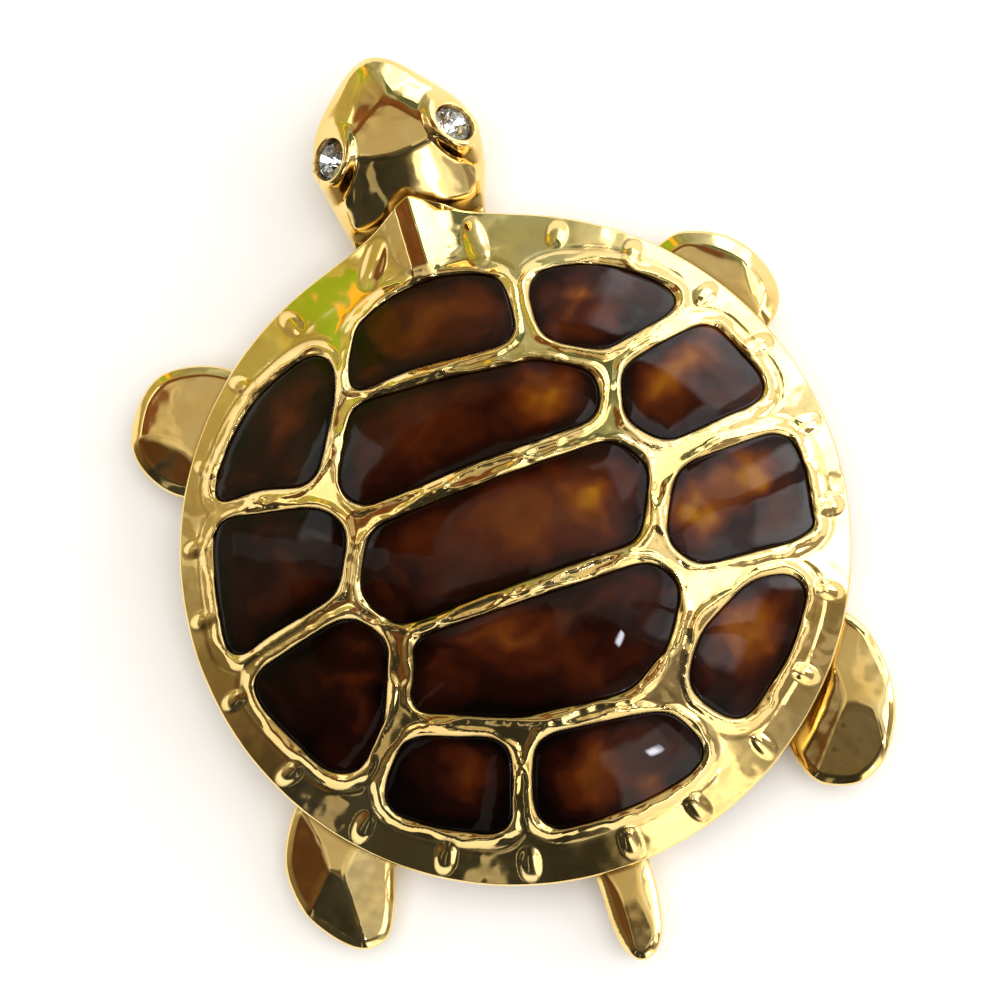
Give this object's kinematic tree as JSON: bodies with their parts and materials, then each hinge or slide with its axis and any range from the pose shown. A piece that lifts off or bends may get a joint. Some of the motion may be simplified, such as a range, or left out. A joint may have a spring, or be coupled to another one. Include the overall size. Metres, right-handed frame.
{
  "type": "turtle brooch",
  "caption": "Costume brooch shaped as a turtle, with a domed ribbed shell, dark enamel cells, cut-stone eyes, a rim of raised bars and a bar pin on the hollow back.",
  "frame": {"origin": "middle of the whole outline seen from above, on the plane that the feet stand on", "axes": "+Z out of the back through the shell's crown, +Y toward the head, +X to the turtle's right"},
  "size_m": [0.0374, 0.052, 0.012],
  "materials": {
    "gold_tone": "polished gold-tone plate",
    "tortoiseshell_enamel": "glossy dark brown enamel with amber clouds",
    "clear_stone": "clear cut stone with a foiled back"
  },
  "bodies": {
    "root": {"carapace": "gold_tone", "underbody": "gold_tone", "brooch_pin": "gold_tone", "enamel_front": "tortoiseshell_enamel", "enamel_rear": "tortoiseshell_enamel", "enamel_centre_1": "tortoiseshell_enamel", "enamel_centre_2": "tortoiseshell_enamel", "enamel_centre_3": "tortoiseshell_enamel", "enamel_left_1": "tortoiseshell_enamel", "enamel_left_2": "tortoiseshell_enamel", "enamel_left_3": "tortoiseshell_enamel", "enamel_left_4": "tortoiseshell_enamel", "enamel_right_1": "tortoiseshell_enamel", "enamel_right_2": "tortoiseshell_enamel", "enamel_right_3": "tortoiseshell_enamel", "enamel_right_4": "tortoiseshell_enamel", "eye_stone_left": "clear_stone", "eye_stone_right": "clear_stone"}
  },
  "joints": []
}
